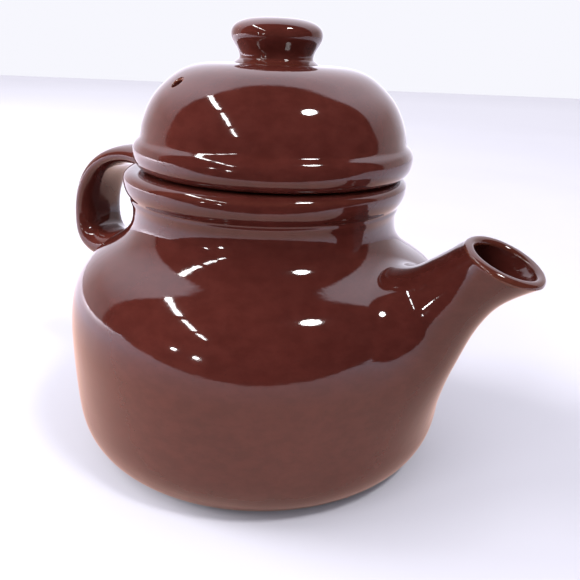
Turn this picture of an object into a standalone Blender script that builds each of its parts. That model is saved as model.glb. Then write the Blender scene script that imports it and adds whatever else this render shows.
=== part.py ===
"""Teapot with an infuser basket: pot, spout, handle, basket and lid, in metres, +Z up.

The origin is the middle of the foot, on the surface that the pot stands on.
The spout points along +X and the handle along -X.
"""
from math import atan2, cos, degrees, radians, sin, sqrt

import bmesh
import bpy
from mathutils import Vector

MM = 0.001
GAP = 0.3           # clearance between neighbouring solids
STEPS = 48          # sides of a turned piece
ARC_STEP = 22.5     # degrees between the points of a rounded edge

# Pot, turned about Z. Radii and heights are in millimetres.
FOOT_R = 60.0
FOOT_INNER_R = 52.0
FOOT_RECESS = 2.5
BELLY_R = 75.6
NECK_R = 50.6
NECK_TOP = 101.5
WALL = 4.8
FLOOR_TOP = 8.0
COLLAR_R = 54.0     # widest radius of the rolled collar
COLLAR_Z = 108.3    # height of its widest point
COLLAR_BEAD = 8.2   # radius of the roll's underside
CROWN_R = 49.6      # where the collar's top turns level
CROWN_Z = 111.3
GALLERY_R = 44.7    # recess inside the collar that takes the basket's rim
LEDGE_R = 41.4      # inner edge of the ledge under that recess
LEDGE_Z = 106.0
LEDGE_DEPTH = 3.2

# Spout: centre line and outer radius in the XZ plane, from inside the belly to the mouth.
SPOUT_LINE = [(55.0, 48.0), (69.8, 63.5), (77.5, 81.6), (95.7, 93.9)]
SPOUT_RADII = [25.7, 19.6, 10.4, 11.6]
ROOT_FLARE = 4.0    # extra half width where the spout leaves the belly
ROOT_END = 0.4      # share of the spout's length over which that flare dies out
LIP_FLARE = 2.3     # how far the pouring side of the lip turns out
LIP_START = 0.75    # share of the length at which the lip starts to turn out
LIP_EVEN = 0.65     # share of the lip's flare that goes all round the mouth
LIP_CREST = 1.3     # height of the rounded edge over the mouth
SPOUT_WALL = 3.6
SPOUT_RINGS = 15
SPOUT_SIDES = 24
MOUTH_TILT = 16.0   # degrees that the mouth drops outwards
MOUTH_START = 0.55  # share of the length at which the rings start to turn to that tilt
MOUTH_WIDTH = 1.12  # the mouth's half width over its radius in the XZ plane
PORT_R = 10.0       # opening through the belly wall into the spout
PORT_START = (58.0, 0.0, 56.0)
PORT_END = (84.0, 0.0, 72.0)

# Handle: centre line in the XZ plane from the collar round to the shoulder.
HANDLE_LINE = [(-44.0, 103.0), (-52.0, 106.6), (-62.0, 109.2), (-78.0, 108.2), (-91.8, 100.8),
               (-99.8, 89.3), (-102.0, 78.0), (-99.2, 67.8), (-91.0, 64.8), (-80.0, 66.6), (-66.0, 69.5)]
HANDLE_THICK = [12.0, 10.8, 9.2, 8.4, 8.2, 8.0, 8.4, 12.0, 13.5, 13.5, 15.0]
HANDLE_WIDE = [27.0, 26.0, 24.5, 24.5, 25.0, 25.0, 25.0, 25.0, 25.0, 26.0, 29.0]
HANDLE_SIDES = 12
HANDLE_ROUND = 0.8  # 1 makes the strap's section an ellipse, and less makes it squarer

# Lid. It sits loose in the gallery, a little off the pot's centre.
LID_SHIFT = (2.7, 0.9)
LID_BOTTOM = CROWN_Z + GAP
RIM_WIDTH = 6.2     # half width and half height of the lid's rolled rim, an upright oval
RIM_HEIGHT = 7.9
RIM_CENTRE_R = 46.5
DOME_TOP = 150.2
DOME_FLAT_R = 13.0
LID_WALL = 4.4
SKIRT_R = 35.3
SKIRT_WALL = 3.4
SKIRT_DROP = 9.8
VENT_R = 2.3
VENT_ANGLE = -102.0
VENT_DISTANCE = 39.5
VENT_HEIGHT = 140.0
VENT_LENGTH = 18.0

# Knob on the lid.
KNOB_SEAT = DOME_TOP + GAP
KNOB_WAIST_R = 13.4
KNOB_R = 16.7
KNOB_TOP = 165.8
KNOB_STEPS = 32

# Basket.
SLEEVE_R = 39.6
SHEET = 0.8
SLEEVE_BOTTOM = 42.0
SLEEVE_TOP = 105.0
HOLES_AROUND = 16
HOLE_ROWS = 3
HOLE_BAND = (50.0, 94.0)
RIM_COLLAR_LENGTH = 7.0
BASKET_RIM_R = 44.2
CUP_HEIGHT = 6.0
FLOOR_SECTORS = 30
FLOOR_HOLE_RINGS = 3
FLOOR_HUB_R = 4.0   # plain disc in the middle of the basket's floor
FLOOR_BORDER = 3.0  # plain ring round its edge


def material(name, colour, roughness, metallic=0.0):
    mat = bpy.data.materials.new(name)
    mat.use_nodes = True
    shader = mat.node_tree.nodes["Principled BSDF"]
    shader.inputs["Base Color"].default_value = (*colour, 1.0)
    shader.inputs["Roughness"].default_value = roughness
    shader.inputs["Metallic"].default_value = metallic
    return mat


def glaze(name):
    return material(name, (0.085, 0.016, 0.011), 0.08)


def steel(name):
    return material(name, (0.62, 0.62, 0.63), 0.28, 1.0)


def smooth_line(points, steps):
    """Catmull-Rom curve through the points, which may hold any number of values each."""
    ends = [points[0]] + list(points) + [points[-1]]
    line = []
    for a, b, c, d in zip(ends, ends[1:], ends[2:], ends[3:]):
        for i in range(steps):
            t = i / steps
            line.append(tuple(
                0.5 * (2 * q + (r - p) * t + (2 * p - 5 * q + 4 * r - s) * t * t
                       + (3 * q - p - 3 * r + s) * t ** 3)
                for p, q, r, s in zip(a, b, c, d)))
    return line + [tuple(points[-1])]


def bezier(points, t):
    """Point at t on the Bezier curve of any degree."""
    while len(points) > 1:
        points = [tuple(p + (q - p) * t for p, q in zip(a, b)) for a, b in zip(points, points[1:])]
    return points[0]


def arc(centre, width, height, start, end):
    """Points on an upright ellipse, from one angle to another in degrees, both included."""
    count = max(1, round(abs(end - start) / ARC_STEP))
    angles = [radians(start + (end - start) * i / count) for i in range(count + 1)]
    return [(centre[0] + width * cos(a), centre[1] + height * sin(a)) for a in angles]


def add_object(name, verts, faces, mat, sharp=40.0):
    """Make a mesh object from millimetre vertices, with its faces pointing out."""
    mesh = bpy.data.meshes.new(name)
    mesh.from_pydata([Vector(v) * MM for v in verts], [], faces)
    tidy = bmesh.new()
    tidy.from_mesh(mesh)
    bmesh.ops.recalc_face_normals(tidy, faces=tidy.faces)
    tidy.to_mesh(mesh)
    tidy.free()
    mesh.shade_smooth()
    mesh.set_sharp_from_angle(angle=radians(sharp))
    if mat:
        mesh.materials.append(mat)
    obj = bpy.data.objects.new(name, mesh)
    bpy.context.scene.collection.objects.link(obj)
    return obj


def lathe(name, outline, mat, closed=False, steps=STEPS):
    """Turn an outline of (radius, height) points about Z.

    An open outline starts and ends on the axis. A closed one is a ring's section.
    """
    verts = []
    rings = []
    for radius, height in outline:
        if radius == 0:
            rings.append([len(verts)] * steps)
            verts.append((0.0, 0.0, height))
            continue
        rings.append(list(range(len(verts), len(verts) + steps)))
        for i in range(steps):
            angle = radians(360.0 * i / steps)
            verts.append((radius * cos(angle), radius * sin(angle), height))
    pairs = list(zip(rings, rings[1:]))
    if closed:
        pairs.append((rings[-1], rings[0]))
    faces = []
    for low, high in pairs:
        for i in range(steps):
            j = (i + 1) % steps
            corners = [low[i], low[j], high[j], high[i]]
            faces.append(list(dict.fromkeys(corners)))
    return add_object(name, verts, faces, mat)


def loft(name, rings, mat, loop=False):
    """Skin equal rings of points. Without loop the two ends are closed by flat caps."""
    size = len(rings[0])
    verts = [point for ring in rings for point in ring]
    faces = []
    pairs = list(range(len(rings) - 1))
    if loop:
        pairs.append(len(rings) - 1)
    for k in pairs:
        low = k * size
        high = (k + 1) % len(rings) * size
        for i in range(size):
            j = (i + 1) % size
            faces.append([low + i, low + j, high + j, high + i])
    if not loop:
        faces.append(list(range(size)))
        faces.append(list(range(len(verts) - size, len(verts))))
    return add_object(name, verts, faces, mat)


def cut(target, cutter):
    """Take the cutter away from the target, and keep the cutter out of the build."""
    cutter.hide_render = True
    cutter.display_type = "WIRE"
    boolean = target.modifiers.new("cut_" + cutter.name, "BOOLEAN")
    boolean.operation = "DIFFERENCE"
    boolean.object = cutter


def cylinder(name, start, end, radius, sides=24):
    """Plain cylinder between two points, used as a cutter."""
    axis = (Vector(end) - Vector(start)).normalized()
    side = axis.orthogonal().normalized()
    other = axis.cross(side)
    rings = []
    for centre in (start, end):
        angles = [radians(360.0 * i / sides) for i in range(sides)]
        rings.append([Vector(centre) + (side * cos(a) + other * sin(a)) * radius for a in angles])
    return loft(name, rings, None)


# ---------------------------------------------------------------- pot

def body_outside(grow=0.0):
    """Outer outline from the foot's edge to the top of the collar."""
    belly = smooth_line([
        (FOOT_R + 2.2, 0.9),
        (67.6, 4.6),
        (72.6, 12.0),
        (74.8, 24.0),
        (BELLY_R, 42.0),
        (75.4, 57.0),
        (72.6, 69.5),
        (66.5, 77.6),
        (57.5, 82.3),
        (52.2, 87.0),
        (NECK_R, 93.5),
    ], 2)
    under_r = COLLAR_R - COLLAR_BEAD
    reach = NECK_R - under_r
    first = degrees(atan2(-sqrt(COLLAR_BEAD ** 2 - reach ** 2), reach))
    under = arc((under_r, COLLAR_Z), COLLAR_BEAD + grow, COLLAR_BEAD + grow, first, 0.0)
    upper = arc((CROWN_R, COLLAR_Z), COLLAR_R - CROWN_R + grow, CROWN_Z - COLLAR_Z + grow, 0.0, 90.0)
    return [(r + grow, z) for r, z in belly] + under + upper[1:]


def body_inside():
    """Inner outline from the collar's crown down to the middle of the floor."""
    return [
        (GALLERY_R + 0.6, CROWN_Z),
        (GALLERY_R, CROWN_Z - 0.8),
        (GALLERY_R, LEDGE_Z),
        (LEDGE_R, LEDGE_Z),
        (LEDGE_R, LEDGE_Z - LEDGE_DEPTH),
        (NECK_R - WALL, NECK_TOP - 1.0),
        (NECK_R - WALL, 91.0),
        (49.4, 82.6),
        (61.5, 74.5),
        (68.0, 66.8),
        (BELLY_R - WALL, 55.0),
        (BELLY_R - WALL, 38.0),
        (69.4, 23.0),
        (65.4, 12.5),
        (57.0, FLOOR_TOP + 0.4),
        (0.0, FLOOR_TOP),
    ]


def make_pot_body():
    foot = [(0.0, FOOT_RECESS), (FOOT_INNER_R, FOOT_RECESS), (FOOT_INNER_R + 1.5, 0.0), (FOOT_R, 0.0)]
    body = lathe("pot_body", foot + body_outside() + body_inside(), glaze("pot_body"))
    cut(body, cylinder("spout_port", PORT_START, PORT_END, PORT_R))
    return body


def body_cutter():
    """The pot's outer volume with the clearance added, which trims what is luted on."""
    base = [(0.0, -GAP), (FOOT_R, -GAP)]
    top = [(0.0, CROWN_Z + GAP)]
    return lathe("body_volume", base + body_outside(GAP) + top, None)


# ---------------------------------------------------------------- spout

def share_past(t, start, end):
    """How much of the way from start to end t has gone, from 0 to 1."""
    return min(1.0, max(0.0, (t - start) / (end - start)))


def spout_ring(t, inset):
    """Ring across the spout, which turns from square to the centre line into the mouth's plane."""
    here = Vector(bezier(SPOUT_LINE, t))
    ahead = Vector(bezier(SPOUT_LINE, t + 0.01))
    along = (ahead - here).normalized()
    square = Vector((along.y, -along.x))
    mouth = Vector((cos(radians(MOUTH_TILT)), -sin(radians(MOUTH_TILT))))
    across = square.lerp(mouth, share_past(t, MOUTH_START, 1.0) ** 1.5).normalized()
    radius = bezier([(r,) for r in SPOUT_RADII], t)[0] - inset
    root = ROOT_FLARE * share_past(t, ROOT_END, 0.0) ** 2
    lip = LIP_FLARE * share_past(t, LIP_START, 1.0) ** 2
    width = radius * (1.0 + (MOUTH_WIDTH - 1.0) * t) + root + lip / 2
    ring = []
    for i in range(SPOUT_SIDES):
        angle = radians(360.0 * i / SPOUT_SIDES)
        depth = radius + lip * (LIP_EVEN + (1.0 - LIP_EVEN) * cos(angle))
        point = here + across * depth * cos(angle)
        ring.append((point.x, width * sin(angle), point.y))
    return ring


def make_spout(trim):
    steps = [i / SPOUT_RINGS for i in range(SPOUT_RINGS + 1)]
    outside = [spout_ring(t, 0.0) for t in steps]
    lip = [[(x, y, z + LIP_CREST) for x, y, z in spout_ring(1.0, SPOUT_WALL / 2)]]
    inside = [spout_ring(t, SPOUT_WALL) for t in reversed(steps)]
    spout = loft("spout", outside + lip + inside, glaze("spout"), loop=True)
    cut(spout, trim)
    return spout


# ---------------------------------------------------------------- handle

def squared(value):
    """Push a sine or a cosine outwards, which squares off an ellipse."""
    return abs(value) ** HANDLE_ROUND * (1 if value > 0 else -1)


def make_handle(trim):
    path = smooth_line([(*p, t, w) for p, t, w in zip(HANDLE_LINE, HANDLE_THICK, HANDLE_WIDE)], 2)
    rings = []
    for k, (x, z, thick, wide) in enumerate(path):
        before = path[max(k - 1, 0)]
        after = path[min(k + 1, len(path) - 1)]
        along = Vector((after[0] - before[0], after[1] - before[1])).normalized()
        out = Vector((along.y, -along.x))
        ring = []
        for i in range(HANDLE_SIDES):
            angle = radians(360.0 * (i + 0.5) / HANDLE_SIDES)
            depth = squared(cos(angle)) * thick / 2
            ring.append((x + out.x * depth, squared(sin(angle)) * wide / 2, z + out.y * depth))
        rings.append(ring)
    handle = loft("handle", rings, glaze("handle"))
    cut(handle, trim)
    return handle


# ---------------------------------------------------------------- lid

def make_lid(parent):
    bead = (RIM_CENTRE_R, LID_BOTTOM + RIM_HEIGHT)
    dome = smooth_line([
        (50.0, 126.8),
        (48.4, 130.8),
        (46.6, 134.8),
        (44.2, 138.6),
        (40.4, 142.4),
        (34.0, 146.4),
        (26.0, 149.1),
        (DOME_FLAT_R + 1.0, DOME_TOP),
    ], 2)
    outside = arc(bead, RIM_WIDTH, RIM_HEIGHT, -90.0, 35.0) + dome
    skirt_in = SKIRT_R - SKIRT_WALL
    bottom = LID_BOTTOM - SKIRT_DROP
    under = [
        (0.0, DOME_TOP - LID_WALL),
        (20.0, DOME_TOP - LID_WALL - 0.6),
        (30.0, 143.3),
        (37.0, 139.2),
        (42.0, 133.8),
        (44.2, 128.0),
        (43.8, LID_BOTTOM + 5.2),
        (skirt_in, LID_BOTTOM + 3.4),
        (skirt_in, bottom + 0.8),
        (skirt_in + 0.8, bottom),
        (SKIRT_R - 0.8, bottom),
        (SKIRT_R, bottom + 0.8),
        (SKIRT_R, LID_BOTTOM),
    ]
    lid = lathe("lid_dome", under + outside + [(0.0, DOME_TOP)], glaze("lid_dome"))
    angle = radians(VENT_ANGLE)
    spot = Vector((cos(angle), sin(angle), 0.0)) * VENT_DISTANCE
    half = Vector((cos(angle) * 0.6, sin(angle) * 0.6, 0.8)) * VENT_LENGTH / 2
    middle = spot + Vector((0.0, 0.0, VENT_HEIGHT))
    cut(lid, cylinder("vent", middle - half, middle + half, VENT_R, 12))
    lid.parent = parent
    return lid


def make_knob(parent):
    side = smooth_line([
        (KNOB_WAIST_R, KNOB_SEAT),
        (KNOB_WAIST_R, KNOB_SEAT + 1.8),
        (14.3, 154.6),
        (15.8, 156.9),
        (KNOB_R, 159.4),
        (16.1, 161.9),
        (13.6, 164.0),
        (8.0, KNOB_TOP - 0.4),
    ], 2)
    knob = lathe("lid_knob", [(0.0, KNOB_SEAT)] + side + [(0.0, KNOB_TOP)], glaze("lid_knob"),
                 steps=KNOB_STEPS)
    knob.parent = parent
    return knob


# ---------------------------------------------------------------- basket

def make_basket_rim(parent):
    """Stamped flange that sits on the ledge, with a short collar round the sleeve."""
    inner = SLEEVE_R + GAP
    bottom = LEDGE_Z + GAP
    outline = [
        (inner, bottom - RIM_COLLAR_LENGTH),
        (inner + SHEET, bottom - RIM_COLLAR_LENGTH),
        (inner + SHEET, bottom),
        (BASKET_RIM_R, bottom),
        (BASKET_RIM_R, bottom + 2.0),
        (BASKET_RIM_R - SHEET, bottom + 2.0),
        (BASKET_RIM_R - SHEET, bottom + SHEET),
        (inner, bottom + SHEET),
    ]
    rim = lathe("infuser_rim", outline, steel("infuser_rim"), closed=True)
    rim.parent = parent
    return rim


def perforated(name, columns, rows, place, has_hole, mat):
    """Sheet of square cells, closed round in one direction, with through holes in some cells.

    place(column, row, side) gives the point at a cell's corner on side 0 or 1 of the sheet.
    """
    verts = []
    for side in (0, 1):
        for row in range(rows + 1):
            verts += [place(column, row, side) for column in range(columns)]
    layer = columns * (rows + 1)

    def index(column, row, side):
        return side * layer + row * columns + column % columns

    def solid(column, row):
        return 0 <= row < rows and not has_hole(column % columns, row)

    faces = []
    for row in range(rows):
        for column in range(columns):
            if not solid(column, row):
                continue
            corners = [(column, row), (column + 1, row), (column + 1, row + 1), (column, row + 1)]
            faces.append([index(*corner, 0) for corner in corners])
            faces.append([index(*corner, 1) for corner in reversed(corners)])
            beside = [(column, row - 1), (column + 1, row), (column, row + 1), (column - 1, row)]
            for k, cell in enumerate(beside):
                if not solid(*cell):
                    a = corners[k]
                    b = corners[(k + 1) % 4]
                    faces.append([index(*a, 0), index(*a, 1), index(*b, 1), index(*b, 0)])
    return add_object(name, verts, faces, mat)


def make_sleeve(parent):
    """Basket wall: a plain band at each end and rows of holes between."""
    rows = 2 * HOLE_ROWS + 1
    low, high = HOLE_BAND
    heights = [low + (high - low) * i / (rows - 2) for i in range(rows - 1)]
    heights = [SLEEVE_BOTTOM] + heights + [SLEEVE_TOP]
    columns = 2 * HOLES_AROUND

    def place(column, row, side):
        radius = SLEEVE_R - SHEET * side
        angle = radians(360.0 * column / columns)
        return (radius * cos(angle), radius * sin(angle), heights[row])

    def has_hole(column, row):
        return row % 2 == 1 and (column + row // 2) % 2 == 0

    sleeve = perforated("infuser_wall", columns, rows, place, has_hole, steel("infuser_wall"))
    sleeve.parent = parent
    return sleeve


def make_basket_floor(parent):
    """Cup with holes in its floor, whose upturned edge goes round the sleeve's end."""
    outer = SLEEVE_R + GAP + SHEET
    inner = SLEEVE_R + GAP
    top = SLEEVE_BOTTOM - GAP
    low = top - SHEET
    rows = 2 * FLOOR_HOLE_RINGS + 3
    reach = inner - FLOOR_BORDER
    radii = [FLOOR_HUB_R + (reach - FLOOR_HUB_R) * i / (rows - 2) for i in range(rows - 1)]

    def place(column, row, side):
        angle = radians(360.0 * column / FLOOR_SECTORS)
        if row < rows - 1:
            radius, height = radii[row], (low, top)[side]
        elif row == rows - 1:
            radius, height = ((outer, low), (inner, top))[side]
        else:
            radius, height = (outer, inner)[side], top + CUP_HEIGHT
        return (radius * cos(angle), radius * sin(angle), height)

    def has_hole(column, row):
        return row % 2 == 1 and row < rows - 2 and column % 2 == 0

    floor = perforated("infuser_floor", FLOOR_SECTORS, rows, place, has_hole, steel("infuser_floor"))
    floor.parent = parent
    return floor


def empty(name, parent=None):
    obj = bpy.data.objects.new(name, None)
    bpy.context.scene.collection.objects.link(obj)
    obj.parent = parent
    return obj


def main():
    for obj in list(bpy.data.objects):
        bpy.data.objects.remove(obj)
    make_pot_body()
    trim = body_cutter()
    make_spout(trim)
    make_handle(trim)
    basket = empty("basket")
    make_basket_rim(basket)
    make_sleeve(basket)
    make_basket_floor(basket)
    lid = empty("lid", basket)
    lid.location = (LID_SHIFT[0] * MM, LID_SHIFT[1] * MM, 0.0)
    make_lid(lid)
    make_knob(lid)


main()
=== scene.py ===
"""Looks of the teapot with an infuser basket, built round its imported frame.

Outlines are drawn in millimetres, with the radius first and the height second, and a turned
piece's outline is then stretched to the box of the CAD node that it stands for. Row frame:
the spout along +X, the handle along -X, +Z up, the origin under the middle of the foot.
"""
from math import atan2, cos, radians, sin, sqrt

import bmesh
import bpy
import numpy as np
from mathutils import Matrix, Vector
from mathutils.geometry import delaunay_2d_cdt


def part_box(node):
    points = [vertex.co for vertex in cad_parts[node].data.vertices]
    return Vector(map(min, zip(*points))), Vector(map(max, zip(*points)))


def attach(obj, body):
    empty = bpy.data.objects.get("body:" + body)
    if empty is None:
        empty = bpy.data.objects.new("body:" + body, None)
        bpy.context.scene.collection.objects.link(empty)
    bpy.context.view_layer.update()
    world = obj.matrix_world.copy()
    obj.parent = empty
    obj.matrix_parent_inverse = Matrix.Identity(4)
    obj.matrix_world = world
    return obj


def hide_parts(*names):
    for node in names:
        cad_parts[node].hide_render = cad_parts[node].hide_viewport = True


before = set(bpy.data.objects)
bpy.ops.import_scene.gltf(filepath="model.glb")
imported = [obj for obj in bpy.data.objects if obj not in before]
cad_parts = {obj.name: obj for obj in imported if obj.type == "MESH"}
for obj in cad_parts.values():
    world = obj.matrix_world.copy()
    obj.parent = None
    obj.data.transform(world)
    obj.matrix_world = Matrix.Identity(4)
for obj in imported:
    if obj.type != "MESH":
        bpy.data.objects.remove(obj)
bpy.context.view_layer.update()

MM = 0.001
SIDES = 192             # round a turned piece
KNOB_SIDES = 128
HOLE_CUTTER_SIDES = 40
SOFTNESS = 0.55         # mm over which the glaze rounds an edge
SAMPLE = 0.3            # mm between the points of an outline while it is smoothed
SHARP = 35.0            # angle in degrees beyond which an edge is shaded sharp
WELD = 1e-7             # metres
AHEAD = 0.01            # step along a piece at which its direction is taken

# Camera: place in metres, angles in degrees, lens in millimetres.
CAMERA_PLACE = (0.1567, -0.2044, 0.1542)
CAMERA_HEADING = 125.0
CAMERA_PITCH = 19.72
CAMERA_ROLL = 2.35
CAMERA_LENS = 41.17


# ---------------------------------------------------------------- curves

def spline(points, steps):
    """Natural cubic curve through the points, with an even number of steps between them."""
    knots = np.array(points, float)
    chord = np.sqrt(((knots[1:] - knots[:-1]) ** 2).sum(1))
    count = len(knots)
    system = np.zeros((count, count))
    right = np.zeros_like(knots)
    system[0, 0] = system[-1, -1] = 1.0
    for i in range(1, count - 1):
        system[i, i - 1] = chord[i - 1]
        system[i, i] = 2.0 * (chord[i - 1] + chord[i])
        system[i, i + 1] = chord[i]
        leaving_slope = (knots[i + 1] - knots[i]) / chord[i]
        arriving_slope = (knots[i] - knots[i - 1]) / chord[i - 1]
        right[i] = 6.0 * (leaving_slope - arriving_slope)
    bend = np.linalg.solve(system, right)
    line = []
    for i in range(count - 1):
        for k in range(steps):
            b = k / steps
            a = 1.0 - b
            line.append(a * knots[i] + b * knots[i + 1] + chord[i] ** 2 / 6.0
                        * ((a ** 3 - a) * bend[i] + (b ** 3 - b) * bend[i + 1]))
    return np.array(line + [knots[-1]])


def arc(centre, width, height, start, end, square=1.0, steps=24):
    """Points on an upright ellipse from one angle to another, in degrees.

    Below one, square fills the ellipse out towards its corners.
    """
    angles = np.radians(np.linspace(start, end, steps + 1))
    across = np.cos(angles)
    up = np.sin(angles)
    across = np.sign(across) * np.abs(across) ** square
    up = np.sign(up) * np.abs(up) ** square
    return np.stack([centre[0] + width * across, centre[1] + height * up], 1)


def join(*stretches):
    return np.concatenate([np.array(s, float) for s in stretches])


def even(line, step):
    """The same line with points an even step apart."""
    chord = np.sqrt(((line[1:] - line[:-1]) ** 2).sum(1))
    length = np.concatenate([[0.0], np.cumsum(chord)])
    count = max(2, int(round(length[-1] / step)))
    place = np.linspace(0.0, length[-1], count + 1)
    return np.stack([np.interp(place, length, line[:, k]) for k in range(line.shape[1])], 1)


def thin(line, turn=1.6, reach=3.0):
    """Drop the points that a smooth stretch doesn't need."""
    kept = [0]
    heading = line[1:] - line[:-1]
    angles = np.unwrap(np.arctan2(heading[:, 1], heading[:, 0]))
    for i in range(1, len(line) - 1):
        bent = abs(angles[i] - angles[kept[-1]]) > radians(turn)
        far = np.hypot(*(line[i] - line[kept[-1]])) > reach
        if bent or far:
            kept.append(i)
    return line[kept + [len(line) - 1]]


def softened(line, softness=SOFTNESS):
    """Round every corner of an outline a little, as glaze does. Its two ends stay put."""
    fine = even(line, SAMPLE)
    width = softness / SAMPLE
    half = int(3 * width) + 1
    weights = np.exp(-0.5 * (np.arange(-half, half + 1) / width) ** 2)
    weights /= weights.sum()
    before = 2 * fine[0] - fine[half:0:-1]
    after = 2 * fine[-1] - fine[-2:-half - 2:-1]
    padded = np.concatenate([before, fine, after])
    smooth = np.stack([np.convolve(padded[:, k], weights, "valid") for k in (0, 1)], 1)
    smooth[:, 0] = np.maximum(smooth[:, 0], 0.0)
    return thin(smooth)


def bezier(points, t):
    """Points on the Bezier curve of any degree, for an array of t."""
    rows = [np.multiply.outer(np.ones_like(t), p) for p in points]
    while len(rows) > 1:
        rows = [p + (q - p) * t[..., None] for p, q in zip(rows, rows[1:])]
    return rows[0]


# ---------------------------------------------------------------- meshes

def make_piece(name, verts, faces, mats):
    """Object of welded points and faces, with smooth shading up to the sharp angle."""
    mesh = bpy.data.meshes.new(name)
    mesh.from_pydata([tuple(v) for v in verts], [], faces)
    tidy = bmesh.new()
    tidy.from_mesh(mesh)
    bmesh.ops.remove_doubles(tidy, verts=tidy.verts, dist=WELD)
    bmesh.ops.recalc_face_normals(tidy, faces=tidy.faces)
    tidy.to_mesh(mesh)
    tidy.free()
    mesh.shade_smooth()
    mesh.set_sharp_from_angle(angle=radians(SHARP))
    for mat in mats:
        mesh.materials.append(mat)
    piece = bpy.data.objects.new(name, mesh)
    bpy.context.scene.collection.objects.link(piece)
    return piece


def grid_faces(rows, columns, closed_rows=False):
    """Quads of a grid of points that closes round its columns."""
    faces = []
    for r in range(rows if closed_rows else rows - 1):
        low = r * columns
        high = (r + 1) % rows * columns
        for c in range(columns):
            d = (c + 1) % columns
            faces.append((low + c, low + d, high + d, high + c))
    return faces


def turned(name, outline, centre, mats, sides=SIDES, closed=False):
    """Turn an outline in metres about a vertical axis. An open outline starts and ends on it."""
    angles = np.linspace(0.0, 2.0 * np.pi, sides, endpoint=False)
    if closed:
        ring = outline
    else:
        ring = outline[1:-1]
    x = centre[0] + np.outer(ring[:, 0], np.cos(angles))
    y = centre[1] + np.outer(ring[:, 0], np.sin(angles))
    z = np.outer(ring[:, 1], np.ones(sides))
    verts = np.stack([x, y, z], 2).reshape(-1, 3)
    faces = grid_faces(len(ring), sides, closed)
    if not closed:
        for end, row in ((outline[0], 0), (outline[-1], len(ring) - 1)):
            verts = np.concatenate([verts, [[centre[0], centre[1], end[1]]]])
            tip = len(verts) - 1
            for c in range(sides):
                faces.append((row * sides + c, row * sides + (c + 1) % sides, tip))
    return make_piece(name, verts, faces, mats)


def stretched(outline, node):
    """Outline in metres, stretched to the node's box, and the middle of that box."""
    low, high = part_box(node)
    middle = (low + high) / 2
    radius = (high.x - low.x) / 2
    base = outline[:, 1].min()
    tall = outline[:, 1].max() - base
    fitted = np.stack([
        outline[:, 0] / outline[:, 0].max() * radius,
        low.z + (outline[:, 1] - base) / tall * (high.z - low.z),
    ], 1)
    return fitted, middle


def apply_cut(piece, cutter):
    """Cut a hole for good, and remove the cutter."""
    boolean = piece.modifiers.new("cut", "BOOLEAN")
    boolean.operation = "DIFFERENCE"
    boolean.solver = "EXACT"
    boolean.object = cutter
    graph = bpy.context.evaluated_depsgraph_get()
    mesh = bpy.data.meshes.new_from_object(piece.evaluated_get(graph))
    piece.modifiers.clear()
    piece.data = mesh
    mesh.set_sharp_from_angle(angle=radians(SHARP))
    bpy.data.objects.remove(cutter)


def rounded_hole(name, place, along, radius, length, flare):
    """Cutter for a round hole whose mouth at place is flared like a trumpet."""
    trumpet = arc((radius + flare, -flare), -flare, flare, 0.0, 90.0, 1.0, 8)
    shank = [(0.0, -length), (radius, -length)]
    mouth = [(radius + flare, flare), (0.0, flare)]
    cutter = turned(name, join(shank, trumpet, mouth), (0.0, 0.0), [], HOLE_CUTTER_SIDES)
    turn = Vector(along).to_track_quat("Z", "Y").to_matrix().to_4x4()
    turn.translation = Vector(place)
    cutter.data.transform(turn)
    return cutter


# ---------------------------------------------------------------- materials

class Nodes:
    """Short words for building a material's nodes."""

    def __init__(self, tree):
        self.tree = tree

    def add(self, kind, **values):
        node = self.tree.nodes.new(kind)
        for key, value in values.items():
            if hasattr(node, key):
                setattr(node, key, value)
            else:
                node.inputs[key.replace("_", " ")].default_value = value
        return node

    def link(self, source, target):
        self.tree.links.new(source, target)

    def scaled(self, source, scale):
        """Coordinates stretched by a factor along each axis."""
        mapping = self.add("ShaderNodeMapping")
        mapping.inputs["Scale"].default_value = scale
        self.link(source, mapping.inputs["Vector"])
        return mapping.outputs["Vector"]

    def noise(self, source, scale, detail=3.0, rough=0.5):
        node = self.add("ShaderNodeTexNoise", Scale=scale, Detail=detail, Roughness=rough)
        self.link(source, node.inputs["Vector"])
        return node.outputs["Fac"]

    def ramp(self, source, stops):
        node = self.add("ShaderNodeValToRGB")
        elements = node.color_ramp.elements
        while len(elements) < len(stops):
            elements.new(0.5)
        for element, (place, colour) in zip(elements, stops):
            element.position = place
            element.color = (*colour, 1.0)
        self.link(source, node.inputs["Fac"])
        return node.outputs["Color"]

    def span(self, source, low, high, start=0.3, end=0.7):
        """From low to high while the source goes from start to end."""
        node = self.add("ShaderNodeMapRange")
        for key, value in (("From Min", start), ("From Max", end), ("To Min", low), ("To Max", high)):
            node.inputs[key].default_value = value
        self.link(source, node.inputs["Value"])
        return node.outputs["Result"]

    def mix(self, factor, first, second, blend="MIX"):
        node = self.add("ShaderNodeMix", data_type="RGBA", blend_type=blend)
        for socket, value in ((node.inputs[0], factor), (node.inputs[6], first), (node.inputs[7], second)):
            if hasattr(value, "links"):
                self.link(value, socket)
            elif isinstance(value, tuple):
                socket.default_value = (*value, 1.0)
            else:
                socket.default_value = value
        return node.outputs[2]

    def bump(self, height, distance, normal=None):
        node = self.add("ShaderNodeBump", Strength=1.0, Distance=distance)
        self.link(height, node.inputs["Height"])
        if normal:
            self.link(normal, node.inputs["Normal"])
        return node.outputs["Normal"]


def new_material(name):
    """Empty material, the tools to build it, its shader, and the piece's own coordinates."""
    mat = bpy.data.materials.new(name)
    mat.use_nodes = True
    tree = mat.node_tree
    shader = tree.nodes["Principled BSDF"]
    nodes = Nodes(tree)
    place = nodes.add("ShaderNodeTexCoord").outputs["Object"]
    return mat, nodes, shader, place


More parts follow.
